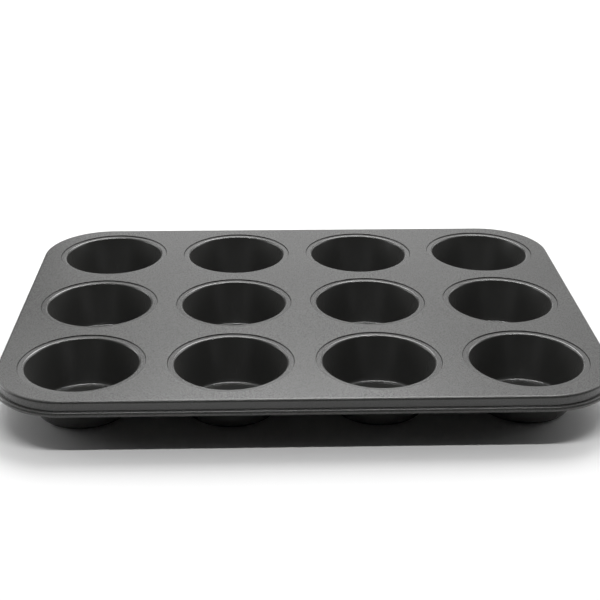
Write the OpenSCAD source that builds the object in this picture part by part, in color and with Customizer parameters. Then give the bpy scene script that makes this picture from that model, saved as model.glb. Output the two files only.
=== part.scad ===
// Twelve-cup muffin tin, crimped from sheet steel.
// Twelve drawn cups hook round the turned-down collars of one stamped top sheet,
// and the rim of the top sheet is curled round a stiffening wire.
// Frame: +X along the rows of four cups, +Z up, origin under the middle of the tin,
// on the surface that the cups stand on.

/* [Layout] */
// Cups in each row, along X
columns = 4; // [1:1:5]
// Rows of cups, along Y
rows = 3; // [1:1:3]
// Distance between neighbouring cups along X
pitch_x = 83; // [80:1:100]
// Distance between neighbouring cups along Y
pitch_y = 80; // [78:1:100]
// Height of the tin, from the cup bases to the top of the sheet
height = 28; // [22:1:45]
// Thickness of the coated sheet steel
sheet = 0.5; // [0.4:0.05:0.6]

/* [Top sheet] */
// Length of the top sheet across its skirt, along X
top_length = 343; // [340:1:420]
// Width of the top sheet across its skirt, along Y
top_width = 250; // [245:1:320]
// Radius of the corners, at the outside of the skirt
corner_r = 42.5; // [30:0.5:60]
// Radius of the shoulder where the top turns down into the skirt
shoulder_r = 1.5; // [1.2:0.1:3]
// Depth of the skirt, from the top down to the crease over the rolled rim
skirt_depth = 5.2; // [4:0.1:8]
// Radius of the crease between the skirt and the rolled rim
crease_r = 0.5; // [0.3:0.1:1]
// Diameter of the wire inside the rolled rim
wire_d = 2; // [1.6:0.1:3]
// Distance that the wire's centre lies outside the skirt
wire_outset = 0.55; // [0.3:0.05:1]
// Gap between the two cut ends of the wire
wire_end_gap = 0.8; // [0.4:0.1:2]

/* [Cups] */
// Diameter of the seam, at the collar's inner face
seam_d = 71; // [70:0.5:74]
// Diameter of the flat part of a cup's base
base_flat_d = 48; // [40:0.5:52]
// Radius inside the cup between its base and its wall
base_r = 2.5; // [1.5:0.1:5]
// Radius of the lip where the cup's wall rolls out into its ring
lip_r = 1.3; // [1:0.1:2.5]
// Width of the flat ring between the lip and the seam
ring_w = 2; // [1:0.1:3]
// Depth of the ring below the top of the sheet
ring_drop = 0.6; // [0.3:0.05:0.8]

/* [Seam] */
// Radius where the top sheet turns down into a collar
collar_bend_r = 0.7; // [0.6:0.1:1.2]
// Depth of a collar below the top of the sheet
collar_depth = 2.8; // [2.4:0.1:4]
// Radius where a cup's ring turns down beside the collar
ring_bend_r = 0.6; // [0.6:0.05:1]
// Height of the hook's outer leg, up the outside of the collar
hook_leg = 1.4; // [0.8:0.1:1.6]

/* [Hidden] */
$fn = 128;
// Play between two sheets, or a sheet and the wire, that are pressed together
play = 0.05;
seam_r = seam_d / 2;
base_flat_r = base_flat_d / 2;
skirt_x = top_length / 2;
skirt_y = top_width / 2;
charcoal = [0.33, 0.33, 0.33];

// Rolled rim, measured outward from the skirt's outer face
curl_in_r = wire_d / 2 + play;
curl_out_r = curl_in_r + sheet;
crease_z = height - skirt_depth;
crease_to_wire = crease_r + curl_out_r;
wire_z = crease_z - sqrt(pow(crease_to_wire, 2) - pow(wire_outset - crease_r, 2));
curl_start = atan2(crease_z - wire_z, crease_r - wire_outset);
curl_end = -230;

// Cup, measured from its own axis
ring_top = height - ring_drop;
ring_end_r = seam_r - play - ring_bend_r;
lip_x = ring_end_r - ring_w;
lip_z = ring_top - lip_r;
base_z = sheet + base_r;
// The wall is the common tangent of the inside of the base corner and the outside of the lip
tangent_run = norm([lip_x - base_flat_r, lip_z - base_z]);
lean = atan2(lip_x - base_flat_r, lip_z - base_z) - asin((lip_r + base_r) / tangent_run);
hook_r = sheet / 2 + play;
hook_x = seam_r + sheet / 2;
hook_z = height - collar_depth - play;

CUPS = [
    for (r = [1:rows], c = [1:columns]) str("cup_r", r, "_c", c)
];

// One sector of a flat ring, between two radii and two angles
module arc_band(inner, outer, from, to) {
    steps = ceil(abs(to - from) / 60);
    far = 3 * outer;
    intersection() {
        difference() {
            circle(r = outer);
            circle(r = inner);
        }
        polygon([
            [0, 0],
            for (i = [0:steps]) far * [cos(from + (to - from) * i / steps), sin(from + (to - from) * i / steps)]
        ]);
    }
}

// Section of the edge of the top sheet: shoulder, skirt, crease and curl.
// Its x is 0 at the skirt's outer face and grows outward.
module rim_section() {
    translate([-shoulder_r, height - shoulder_r])
        arc_band(shoulder_r - sheet, shoulder_r, 0, 90);
    translate([-sheet, crease_z])
        square([sheet, skirt_depth - shoulder_r]);
    translate([crease_r, crease_z])
        arc_band(crease_r, crease_r + sheet, 180, 180 + curl_start);
    translate([wire_outset, wire_z])
        arc_band(curl_in_r, curl_out_r, curl_end, curl_start);
}

// Section of the wire, inside the curl
module wire_section() {
    translate([wire_outset, wire_z])
        circle(d = wire_d);
}

// Sweeps a section round the four sides and corners of the skirt
module around_skirt() {
    side_x = skirt_x - corner_r;
    side_y = skirt_y - corner_r;
    for (turn = [0:3]) {
        long_side = turn % 2 == 1;
        reach = long_side ? skirt_y : skirt_x;
        half = long_side ? side_x : side_y;
        rotate(90 * turn)
            translate([reach, half, 0])
                rotate([90, 0, 0])
                    linear_extrude(2 * half)
                        children();
        rotate(90 * turn)
            translate([reach - corner_r, half, 0])
                rotate_extrude(angle = 90)
                    translate([corner_r, 0])
                        children();
    }
}

// Outline of the flat part of the top sheet
module top_outline() {
    flat_r = corner_r - shoulder_r;
    flat_x = skirt_x - corner_r;
    flat_y = skirt_y - corner_r;
    square([2 * (flat_x + flat_r), 2 * flat_y], center = true);
    square([2 * flat_x, 2 * (flat_y + flat_r)], center = true);
    for (x = [-1, 1], y = [-1, 1])
        translate([x * flat_x, y * flat_y])
            circle(r = flat_r);
}

// Moves its children onto the axis of one cup
module at_cup(row, column) {
    translate([(column - (columns + 1) / 2) * pitch_x, (row - (rows + 1) / 2) * pitch_y, 0])
        children();
}

// Section of the turned-down collar round one hole in the top sheet
module collar_section() {
    translate([seam_r + collar_bend_r, height - collar_bend_r])
        arc_band(collar_bend_r - sheet, collar_bend_r, 90, 180);
    translate([seam_r, height - collar_depth])
        square([sheet, collar_depth - collar_bend_r]);
}

// Stamped top sheet with its twelve collars, skirt and curled rim
module top_sheet() {
    color(charcoal) {
        translate([0, 0, height - sheet])
            linear_extrude(sheet)
                difference() {
                    top_outline();
                    for (row = [1:rows], column = [1:columns])
                        at_cup(row, column)
                            circle(r = seam_r + collar_bend_r);
                }
        for (row = [1:rows], column = [1:columns])
            at_cup(row, column)
                rotate_extrude()
                    collar_section();
        around_skirt()
            rim_section();
    }
}

// Stiffening wire inside the curl, cut and butted in the middle of the +Y side
module rim_wire() {
    color("silver")
        difference() {
            around_skirt()
                wire_section();
            translate([-wire_end_gap / 2, skirt_y - wire_d, wire_z - wire_d])
                cube([wire_end_gap, 3 * wire_d, 2 * wire_d]);
        }
}

// Section of a cup: base, corner, leaning wall, lip, ring, and the hook round the collar
module cup_section() {
    square([base_flat_r, sheet]);
    translate([base_flat_r, base_z])
        arc_band(base_r, base_r + sheet, -90, -lean);
    wall_section();
    translate([lip_x, lip_z])
        arc_band(lip_r - sheet, lip_r, 90, 180 - lean);
    translate([lip_x, ring_top - sheet])
        square([ring_w, sheet]);
    translate([ring_end_r, ring_top - ring_bend_r])
        arc_band(ring_bend_r - sheet, ring_bend_r, 0, 90);
    translate([ring_end_r + ring_bend_r - sheet, hook_z])
        square([sheet, ring_top - ring_bend_r - hook_z]);
    translate([hook_x, hook_z])
        arc_band(hook_r, hook_r + sheet, 180, 360);
    translate([hook_x + hook_r, hook_z])
        square([sheet, hook_leg]);
}

// Section of the straight wall, tangent to the base corner and to the lip
module wall_section() {
    across = [cos(lean), -sin(lean)];
    foot = [base_flat_r, base_z] + base_r * across;
    top = [lip_x, lip_z] - lip_r * across;
    polygon([foot, foot + sheet * across, top + sheet * across, top]);
}

module cup(row, column) {
    color(charcoal)
        at_cup(row, column)
            rotate_extrude()
                cup_section();
}

top_sheet();
rim_wire();
for (row = [1:rows], column = [1:columns])
    cup(row, column);
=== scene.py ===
"""Muffin tin: twelve drawn cups crimped into a stamped top sheet whose rim is curled round a wire.
All of it has a dark satin non-stick coating, apart from the wire."""

import math

import bpy
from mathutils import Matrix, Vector
from mathutils.geometry import delaunay_2d_cdt


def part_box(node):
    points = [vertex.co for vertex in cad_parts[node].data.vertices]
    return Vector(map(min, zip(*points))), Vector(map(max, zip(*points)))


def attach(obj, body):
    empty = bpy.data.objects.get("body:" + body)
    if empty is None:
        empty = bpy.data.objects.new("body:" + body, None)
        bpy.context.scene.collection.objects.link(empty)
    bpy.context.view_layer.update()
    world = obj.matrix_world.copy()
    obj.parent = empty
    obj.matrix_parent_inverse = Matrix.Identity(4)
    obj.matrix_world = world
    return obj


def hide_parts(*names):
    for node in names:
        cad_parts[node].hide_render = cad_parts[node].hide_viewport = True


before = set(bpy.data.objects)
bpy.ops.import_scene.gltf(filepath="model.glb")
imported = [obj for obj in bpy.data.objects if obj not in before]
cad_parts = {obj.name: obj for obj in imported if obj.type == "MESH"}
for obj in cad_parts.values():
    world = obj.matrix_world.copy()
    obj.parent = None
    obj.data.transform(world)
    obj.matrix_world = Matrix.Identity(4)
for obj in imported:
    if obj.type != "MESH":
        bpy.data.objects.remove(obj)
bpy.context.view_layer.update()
scene = bpy.context.scene
MM = 0.001


# ---------------------------------------------------------------- sizes, in metres

SHEET = 0.5 * MM             # coated sheet steel
PLAY = 0.05 * MM             # between two surfaces that are pressed together
ROWS = 3
COLUMNS = 4

# Rim of the top sheet
SHOULDER_R = 1.5 * MM        # top turning down into the skirt
SKIRT_DEPTH = 5.2 * MM       # from the top down to the crease
CREASE_R = 0.5 * MM          # skirt turning out over the wire
WIRE_R = 1.0 * MM
WIRE_OUTSET = 0.55 * MM      # the wire's centre, outside the skirt
WIRE_END_GAP = 0.8 * MM
CORNER_R = 42.5 * MM         # at the outside of the skirt
CURL_END = -230              # degrees round the wire

# Cup
SEAM_R = 35.5 * MM           # inner face of the collar
BASE_FLAT_R = 24 * MM
BASE_R = 2.5 * MM            # inside corner between base and wall
LIP_R = 1.3 * MM
RING_W = 2 * MM
RING_DROP = 0.6 * MM         # ring below the top of the sheet
RING_INSET = 0.65 * MM       # from the seam to the end of the flat ring, as the CAD bends it
COLLAR_DEPTH = 2.8 * MM
HOOK_LEG = 1.4 * MM

# The press squeezes these bends tighter than the CAD's plain ones
RING_EDGE_R = 0.2 * MM
COLLAR_EDGE_R = 0.2 * MM
CREASE_EDGE_R = 0.1 * MM
TIGHTEST_R = 0.05 * MM       # back of a squeezed bend

# Mesh density
ARC_STEP = 9                 # degrees between points along a bend of the section
WIRE_STEP = 30               # degrees between points round the wire
ROUND_STEPS = 144            # points round a cup
SIDE_STEP = 8 * MM           # between points along a straight side
PLATE_STEP = 7 * MM          # between points inside the flat of the top sheet
PLATE_MARGIN = 0.45 * PLATE_STEP    # from those points to the flat's edge and holes
MERGE = 1e-9                 # distance at which two points of the flat count as one
SHARP_ANGLE = 40             # degrees between faces that meet at a sharp edge

top_low, top_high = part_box("top_sheet")
TOP = top_high.z
CURL_R = WIRE_R + PLAY + SHEET
SKIRT_X = (top_high.x - top_low.x) / 2 - WIRE_OUTSET - CURL_R
SKIRT_Y = (top_high.y - top_low.y) / 2 - WIRE_OUTSET - CURL_R


def cup_name(row, column):
    return f"cup_r{row}_c{column}"


def cup_centre(row, column):
    low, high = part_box(cup_name(row, column))
    middle = (low + high) / 2
    return Vector((middle.x, middle.y))


# ---------------------------------------------------------------- camera

def add_camera():
    """A 71 mm lens 0.74 m away, 24 degrees above the tin and a little left of its middle."""
    data = bpy.data.cameras.new("camera")
    data.lens = 71.3
    data.sensor_width = 36
    data.clip_start = 0.01
    camera = bpy.data.objects.new("camera", data)
    camera.location = (-0.0216, -0.6723, TOP + 0.3053)
    camera.rotation_euler = (1.1457, -0.0033, -0.0299)
    scene.collection.objects.link(camera)
    scene.camera = camera


add_camera()


# ---------------------------------------------------------------- sections of bent sheet
# A section is a list of (front, back) pairs of points across the sheet, along the face that starts
# as its top.

def direction(degrees):
    angle = math.radians(degrees)
    return Vector((math.cos(angle), math.sin(angle)))


def bend(x, z, radius, start, end, hollow=False):
    """An arc of the section round (x, z). In a hollow bend the front looks towards the centre.
    A bend of 90 degrees may be tighter than the sheet is thick: its back has a centre of its own."""
    steps = max(2, round(abs(end - start) / ARC_STEP))
    centre = Vector((x, z))
    back_r = radius + SHEET if hollow else max(radius - SHEET, TIGHTEST_R)
    squeezed = 0 if hollow else radius - SHEET - back_r
    back_centre = centre + squeezed * (direction(start) + direction(end))
    rays = [direction(start + (end - start) * i / steps) for i in range(steps + 1)]
    return [(centre + radius * ray, back_centre + back_r * ray) for ray in rays]


def cup_section():
    """Corner, leaning wall, lip, ring, and the hook round the collar, from the flat base out."""
    ring_top = TOP - RING_DROP
    ring_end = SEAM_R - PLAY - RING_EDGE_R
    lip_x = SEAM_R - RING_INSET - RING_W
    lip_z = ring_top - LIP_R
    base_z = SHEET + BASE_R
    run = Vector((lip_x - BASE_FLAT_R, lip_z - base_z))
    lean = math.degrees(math.atan2(run.x, run.y) - math.asin((LIP_R + BASE_R) / run.length))
    hook_x = SEAM_R + SHEET / 2
    hook_z = TOP - COLLAR_DEPTH - PLAY
    hook_r = SHEET / 2 + PLAY
    return [
        *bend(BASE_FLAT_R, base_z, BASE_R, -90, -lean, hollow=True),
        *bend(lip_x, lip_z, LIP_R, 180 - lean, 90),
        *bend(ring_end, ring_top - RING_EDGE_R, RING_EDGE_R, 90, 0),
        *bend(hook_x, hook_z, hook_r, 180, 360, hollow=True),
        (
            Vector((hook_x + hook_r, hook_z + HOOK_LEG)),
            Vector((hook_x + hook_r + SHEET, hook_z + HOOK_LEG)),
        ),
    ]


def collar_section():
    """The edge of a hole in the top sheet, turned down, from the flat in."""
    return [
        *bend(SEAM_R + COLLAR_EDGE_R, TOP - COLLAR_EDGE_R, COLLAR_EDGE_R, 90, 180),
        (Vector((SEAM_R, TOP - COLLAR_DEPTH)), Vector((SEAM_R + SHEET, TOP - COLLAR_DEPTH))),
    ]


def crease_rise(radius):
    """Height of the top of the crease over the wire's centre, for one radius of crease."""
    return math.sqrt((radius + CURL_R) ** 2 - (WIRE_OUTSET - radius) ** 2)


def wire_height():
    return TOP - SKIRT_DEPTH - crease_rise(CREASE_R)


def rim_section():
    """Shoulder, skirt, crease and curl. x is 0 at the skirt's outer face and grows outward."""
    wire_z = wire_height()
    rise = crease_rise(CREASE_EDGE_R)
    over = math.degrees(math.atan2(rise, CREASE_EDGE_R - WIRE_OUTSET))
    return [
        *bend(-SHOULDER_R, TOP - SHOULDER_R, SHOULDER_R, 90, 0),
        *bend(CREASE_EDGE_R, wire_z + rise, CREASE_EDGE_R, 180, 180 + over, hollow=True),
        *bend(WIRE_OUTSET, wire_z, CURL_R, over, CURL_END)[1:],
    ]


# ---------------------------------------------------------------- meshes

class Shell:
    """Vertices and faces of one piece, gathered before they become a mesh."""

    def __init__(self):
        self.points = []
        self.faces = []

    def add(self, point):
        self.points.append(tuple(point))
        return len(self.points) - 1

    def band(self, first, second, closed=True):
        """Quads between two rows of vertices that run side by side."""
        count = len(first)
        for i in range(count if closed else count - 1):
            j = (i + 1) % count
            self.faces.append((first[i], first[j], second[j], second[i]))

    def sweep(self, section, place, stations):
        """Sweeps both faces of a bent-sheet section round a closed path, and closes its last edge.
        Returns the first row of vertices on each face."""
        front, back = (
            [[self.add(place(station, pair[face])) for station in stations] for pair in section]
            for face in (0, 1)
        )
        for a, b in zip(front, front[1:]):
            self.band(a, b)
        for a, b in zip(back, back[1:]):
            self.band(b, a)
        self.band(front[-1], back[-1])
        return front[0], back[0]

    def fan(self, centre, row):
        for i, vertex in enumerate(row):
            self.faces.append((centre, vertex, row[(i + 1) % len(row)]))

    def build(self, name, material):
        mesh = bpy.data.meshes.new(name)
        mesh.from_pydata(self.points, [], self.faces)
        mesh.validate()
        mesh.update()
        mesh.shade_smooth()
        mesh.set_sharp_from_angle(angle=math.radians(SHARP_ANGLE))
        mesh.materials.append(material)
        piece = bpy.data.objects.new(name, mesh)
        scene.collection.objects.link(piece)
        weighted = piece.modifiers.new("weighted_normals", "WEIGHTED_NORMAL")
        weighted.keep_sharp = True
        return piece


def place_round(centre):
    """Places a section's (r, z) round a vertical axis."""
    def place(angle, point):
        return (
            centre.x + point.x * math.cos(angle),
            centre.y + point.x * math.sin(angle),
            point.y,
        )
    return place


def place_on_skirt(station, point):
    """Places a section's (x, z) at one station of the skirt: a point on it, and the way out."""
    foot, out = station
    spot = foot + point.x * out
    return (spot.x, spot.y, point.y)


def round_stations():
    return [2 * math.pi * i / ROUND_STEPS for i in range(ROUND_STEPS)]


def skirt_stations():
    """Points round the outside of the skirt, anticlockwise, each with the way out."""
    corner_steps = ROUND_STEPS // 4
    stations = []
    for quarter in range(4):
        sign_x = 1 if quarter in (0, 3) else -1
        sign_y = 1 if quarter in (0, 1) else -1
        centre = Vector((sign_x * (SKIRT_X - CORNER_R), sign_y * (SKIRT_Y - CORNER_R)))
        for i in range(corner_steps + 1):
            out = direction(90 * (quarter + i / corner_steps))
            stations.append((centre + CORNER_R * out, out))
        along = direction(90 * (quarter + 1)).orthogonal()
        length = 2 * ((SKIRT_X if quarter % 2 == 0 else SKIRT_Y) - CORNER_R)
        pieces = round(length / SIDE_STEP)
        start = stations[-1][0]
        for i in range(1, pieces):
            stations.append((start + along * length * i / pieces, out))
    return stations


def flat_faces(edge, holes):
    """Triangles that fill a convex outline with round holes. Returns extra points inside it, and
    index triples into edge + all holes + extra points."""
    given = list(edge)
    constraints = [(i, (i + 1) % len(edge)) for i in range(len(edge))]
    hole_of = {}
    for number, hole in enumerate(holes):
        start = len(given)
        constraints += [(start + i, start + (i + 1) % len(hole)) for i in range(len(hole))]
        hole_of.update((start + i, number) for i in range(len(hole)))
        given += hole
    extra = grid_points(holes)
    given += extra
    _, _, faces, origins, _, _ = delaunay_2d_cdt(given, constraints, [], 0, MERGE)
    triangles = [[origins[v][0] for v in face] for face in faces]

    def inside_hole(triangle):
        numbers = {hole_of.get(v) for v in triangle}
        return len(numbers) == 1 and None not in numbers

    return extra, [triangle for triangle in triangles if not inside_hole(triangle)]


def grid_points(holes):
    """A triangular grid inside the flat of the top sheet, clear of its edge and its holes."""
    points = []
    rows = int(SKIRT_Y / PLATE_STEP) + 1
    columns = int(SKIRT_X / PLATE_STEP) + 1
    centres = [sum(hole, Vector((0, 0))) / len(hole) for hole in holes]
    keep_out = (holes[0][0] - centres[0]).length + PLATE_MARGIN
    inner_x = SKIRT_X - CORNER_R
    inner_y = SKIRT_Y - CORNER_R
    reach = CORNER_R - SHOULDER_R - PLATE_MARGIN
    for row in range(-rows, rows + 1):
        for column in range(-columns, columns + 1):
            spot = Vector(((column + 0.5 * (row % 2)) * PLATE_STEP, row * PLATE_STEP))
            past = Vector((max(abs(spot.x) - inner_x, 0), max(abs(spot.y) - inner_y, 0)))
            if past.length < reach and all((spot - centre).length > keep_out for centre in centres):
                points.append(spot)
    return points


def build_top_sheet(material):
    shell = Shell()
    stations = skirt_stations()
    rim_rows = shell.sweep(rim_section(), place_on_skirt, stations)
    hole_rows = []
    for row in range(1, ROWS + 1):
        for column in range(1, COLUMNS + 1):
            place = place_round(cup_centre(row, column))
            hole_rows.append(shell.sweep(collar_section(), place, round_stations()[::-1]))
    flat = [Vector(shell.points[v][:2]) for v in rim_rows[0]]
    holes = [[Vector(shell.points[v][:2]) for v in rows[0]] for rows in hole_rows]
    extra, faces = flat_faces(flat, holes)
    for face_of_sheet, height in ((0, TOP), (1, TOP - SHEET)):
        vertices = list(rim_rows[face_of_sheet])
        for rows in hole_rows:
            vertices += rows[face_of_sheet]
        vertices += [shell.add((spot.x, spot.y, height)) for spot in extra]
        for face in faces:
            corners = [vertices[v] for v in face]
            shell.faces.append(corners if height == TOP else corners[::-1])
    return shell.build("top_sheet_shell", material)


def build_cup(row, column, material):
    shell = Shell()
    centre = cup_centre(row, column)
    rows = shell.sweep(cup_section(), place_round(centre), round_stations())
    shell.fan(shell.add((centre.x, centre.y, SHEET)), rows[0])
    shell.fan(shell.add((centre.x, centre.y, 0)), rows[1][::-1])
    return shell.build(cup_name(row, column) + "_drawn", material)


def build_wire(material):
    """The wire inside the curl, butted in the middle of the back."""
    shell = Shell()
    wire_z = wire_height()
    stations = skirt_stations()
    turns = range(0, 360, WIRE_STEP)
    section = [Vector((WIRE_OUTSET, wire_z)) + WIRE_R * direction(turn) for turn in turns]
    back = max(range(len(stations)), key=lambda i: (stations[i][0].y, -abs(stations[i][0].x)))
    run = stations[back:] + stations[:back + 1]
    half_gap = Vector((WIRE_END_GAP / 2, 0))
    run[0] = (Vector((0, run[0][0].y)) - half_gap, run[0][1])
    run[-1] = (Vector((0, run[-1][0].y)) + half_gap, run[-1][1])
    rings = [[shell.add(place_on_skirt(station, point)) for point in section] for station in run]
    for a, b in zip(rings, rings[1:]):
        shell.band(b, a)
    shell.faces.append(rings[0])
    shell.faces.append(rings[-1][::-1])
    return shell.build("rim_wire_drawn", material)


# ---------------------------------------------------------------- materials

WARMTH = 0.96            # blue of the coating's grey, next to its red and green
CLOUD_SCALE = 22         # patches per metre
CLOUD_DEPTH = 0.15       # how far the patches take the grey from its middle
GRAIN_SCALE = 2200       # grains per metre
GRAIN_HEIGHT = 0.02 * MM
GRAIN_STRENGTH = 0.1


def shader(name):
    material = bpy.data.materials.new(name)
    material.use_nodes = True
    return material, material.node_tree, material.node_tree.nodes["Principled BSDF"]


def noise(tree, scale, detail, seed):
    """Noise in object space. scale is in features per metre."""
    where = tree.nodes.new("ShaderNodeTexCoord")
    texture = tree.nodes.new("ShaderNodeTexNoise")
    texture.noise_dimensions = "4D"
    texture.inputs["W"].default_value = seed
    texture.inputs["Scale"].default_value = scale
    texture.inputs["Detail"].default_value = detail
    tree.links.new(where.outputs["Object"], texture.inputs["Vector"])
    return texture.outputs["Fac"]


def spread(tree, value, low, high):
    """Maps the middle of a noise onto a range."""
    mapping = tree.nodes.new("ShaderNodeMapRange")
    mapping.inputs["From Min"].default_value = 0.3
    mapping.inputs["From Max"].default_value = 0.7
    mapping.inputs["To Min"].default_value = low
    mapping.inputs["To Max"].default_value = high
    tree.links.new(value, mapping.inputs["Value"])
    return mapping.outputs["Result"]


def coating(name, seed, ior, tone, smooth, coarse):
    """Satin dark grey non-stick coating: fine sprayed grain over faint cloudy patches.
    Its grey varies round one tone, and its roughness from smooth to coarse."""
    material, tree, surface = shader(name)
    surface.inputs["IOR"].default_value = ior
    cloud = noise(tree, CLOUD_SCALE, 2, seed)
    grain = noise(tree, GRAIN_SCALE, 2, seed + 1)
    colour = tree.nodes.new("ShaderNodeMix")
    colour.data_type = "RGBA"
    for end, grey in (("A", tone * (1 - CLOUD_DEPTH)), ("B", tone * (1 + CLOUD_DEPTH))):
        colour.inputs[end].default_value = (grey, grey, grey * WARMTH, 1)
    tree.links.new(cloud, colour.inputs["Factor"])
    tree.links.new(colour.outputs["Result"], surface.inputs["Base Color"])
    tree.links.new(spread(tree, grain, smooth, coarse), surface.inputs["Roughness"])
    bump = tree.nodes.new("ShaderNodeBump")
    bump.inputs["Strength"].default_value = GRAIN_STRENGTH
    bump.inputs["Distance"].default_value = GRAIN_HEIGHT
    tree.links.new(grain, bump.inputs["Height"])
    tree.links.new(bump.outputs["Normal"], surface.inputs["Normal"])
    return material


def drawn_wire():
    """Plain steel wire, with fine drawing marks."""
    material, tree, surface = shader("wire_steel")
    surface.inputs["Metallic"].default_value = 1
    surface.inputs["Base Color"].default_value = (0.60, 0.60, 0.58, 1)
    tree.links.new(spread(tree, noise(tree, 900, 2, 5), 0.25, 0.45), surface.inputs["Roughness"])
    return material


def plain(name, colour, roughness):
    material, _, surface = shader(name)
    surface.inputs["Base Color"].default_value = (*colour, 1)
    surface.inputs["Roughness"].default_value = roughness
    return material


# ---------------------------------------------------------------- the tin

def keep(piece, node):
    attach(piece, "root")
    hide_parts(node)


sheet_coating = coating("sheet_coating", seed=1, ior=1.55, tone=0.056, smooth=0.24, coarse=0.32)
cup_coating = coating("cup_coating", seed=7, ior=1.70, tone=0.050, smooth=0.20, coarse=0.26)
keep(build_top_sheet(sheet_coating), "top_sheet")
keep(build_wire(drawn_wire()), "rim_wire")
for row in range(1, ROWS + 1):
    for column in range(1, COLUMNS + 1):
        keep(build_cup(row, column, cup_coating), cup_name(row, column))


# ---------------------------------------------------------------- studio

FLOOR = 8        # metres from the middle of the floor to each side
DOME = 2.5       # metres from the tin to each panel
ROOM = 0.01      # glow of the room


def add_floor():
    corners = [(-FLOOR, -FLOOR, 0), (FLOOR, -FLOOR, 0), (FLOOR, FLOOR, 0), (-FLOOR, FLOOR, 0)]
    mesh = bpy.data.meshes.new("floor")
    mesh.from_pydata(corners, [], [(0, 1, 2, 3)])
    mesh.materials.append(plain("floor_white", (0.86, 0.86, 0.86), 0.6))
    floor = bpy.data.objects.new("floor", mesh)
    scene.collection.objects.link(floor)


def add_light(name, position, target, size, radiance):
    """A flat rectangular light that faces its target. Its power gives every size the same glow."""
    data = bpy.data.lights.new(name, "AREA")
    data.shape = "RECTANGLE"
    data.size, data.size_y = size
    data.energy = math.pi * size[0] * size[1] * radiance
    light = bpy.data.objects.new(name, data)
    light.location = position
    aim = Vector(target) - Vector(position)
    light.rotation_euler = aim.to_track_quat("-Z", "Y").to_euler()
    scene.collection.objects.link(light)


def add_panel(name, azimuth, elevation, radiance):
    """A softbox on a dome round the tin. It fills a range of azimuth, from +Y towards +X, and of
    elevation, both in degrees."""
    turn = math.radians(sum(azimuth) / 2)
    rise = math.radians(sum(elevation) / 2)
    out = Vector((math.sin(turn) * math.cos(rise), math.cos(turn) * math.cos(rise), math.sin(rise)))
    width = 2 * DOME * math.tan(math.radians(azimuth[1] - azimuth[0]) / 2) * math.cos(rise)
    height = 2 * DOME * math.tan(math.radians(elevation[1] - elevation[0]) / 2)
    add_light(name, DOME * out, (0, 0, 0), (width, height), radiance)


def add_world():
    """A dim room, so that the lights do nearly all the work."""
    world = bpy.data.worlds.new("room")
    scene.world = world
    world.use_nodes = True
    world.node_tree.nodes["Background"].inputs["Color"].default_value = (ROOM, ROOM, ROOM, 1)


add_floor()
add_world()
add_panel("key_behind", (-14, 15), (35, 62), 8.4)
add_panel("low_behind", (-14, 14), (8, 24), 1.3)
add_panel("wing_left", (-32, -14), (28, 42), 2.2)
add_panel("wing_right", (14, 32), (42, 62), 7.5)
add_panel("low_wing_right", (14, 32), (8, 38), 0.7)
add_panel("back_left", (-77, -33), (8, 64), 1.3)
add_panel("back_right", (33, 77), (8, 64), 1.8)
add_panel("side_left", (-115, -78), (30, 60), 0.25)
add_panel("side_right", (78, 115), (30, 60), 0.15)
add_light("strip_overhead", (0, -0.13, 1.6), (0, -0.13, 0), (1.4, 0.04), 69)
for side, radiance in ((-1, 2.8), (1, 1.6)):
    add_light("low_side", (side * 0.6, 0.15, 0.16), (0, 0.08, 0.02), (0.35, 0.2), radiance)
for side, radiance in ((-1, 0.5), (1, 0.4)):
    add_light("low_front", (side * 0.6, -0.12, 0.14), (0, 0.08, 0.02), (0.3, 0.12), radiance)
scene.view_settings.view_transform = "Standard"
